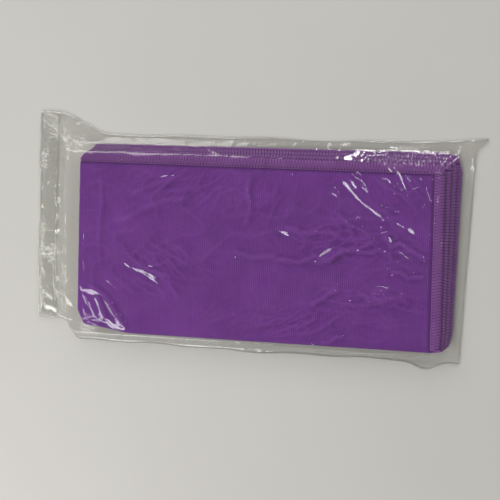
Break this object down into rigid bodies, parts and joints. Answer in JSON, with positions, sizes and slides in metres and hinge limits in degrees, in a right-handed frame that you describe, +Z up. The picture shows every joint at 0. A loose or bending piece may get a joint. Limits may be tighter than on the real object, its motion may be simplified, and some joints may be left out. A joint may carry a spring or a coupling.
{
  "type": "quick dry towel",
  "caption": "Microfibre knit towel with overlocked edges, folded into a rectangle and packed flat in a clear bag with an adhesive flap.",
  "frame": {"origin": "on the surface that the bag lies on, under the middle of the bag's box", "axes": "+X from the bag's mouth to its closed end, +Y from the towel's bottom fold to its cut long edges, +Z up"},
  "size_m": [0.3484, 0.188, 0.0103],
  "materials": {
    "microfibre_knit": "matt ribbed knit",
    "hem_needle_thread": "fine twisted thread",
    "hem_looper_thread": "soft textured thread",
    "clear_film": "glossy clear film",
    "adhesive": "clear adhesive with bubbles"
  },
  "bodies": {
    "bag": {"bag_front_film": "clear_film", "bag_back_film": "clear_film", "lower_side_seal": "clear_film", "upper_side_seal": "clear_film"},
    "towel": {"towel_cloth": "microfibre_knit", "front_long_side_needle_thread": "hem_needle_thread", "front_long_side_upper_looper_thread": "hem_looper_thread", "front_long_side_lower_looper_thread": "hem_looper_thread", "back_long_side_needle_thread": "hem_needle_thread", "back_long_side_upper_looper_thread": "hem_looper_thread", "back_long_side_lower_looper_thread": "hem_looper_thread", "outer_short_side_needle_thread": "hem_needle_thread", "outer_short_side_upper_looper_thread": "hem_looper_thread", "outer_short_side_lower_looper_thread": "hem_looper_thread", "inner_short_side_needle_thread": "hem_needle_thread", "inner_short_side_upper_looper_thread": "hem_looper_thread", "inner_short_side_lower_looper_thread": "hem_looper_thread"},
    "flap": {"bag_flap": "clear_film", "adhesive_strip": "adhesive"}
  },
  "joints": [
    {"name": "flap_hinge", "type": "hinge", "parent": "bag", "child": "flap", "pos_m": [-0.17415, 0, 0.001], "axis": [0, -1, 0], "range_deg": [0, 180]},
    {"name": "towel_slide", "type": "slide", "parent": "bag", "child": "towel", "axis": [-1, 0, 0], "range_m": [0, 0.008]}
  ]
}
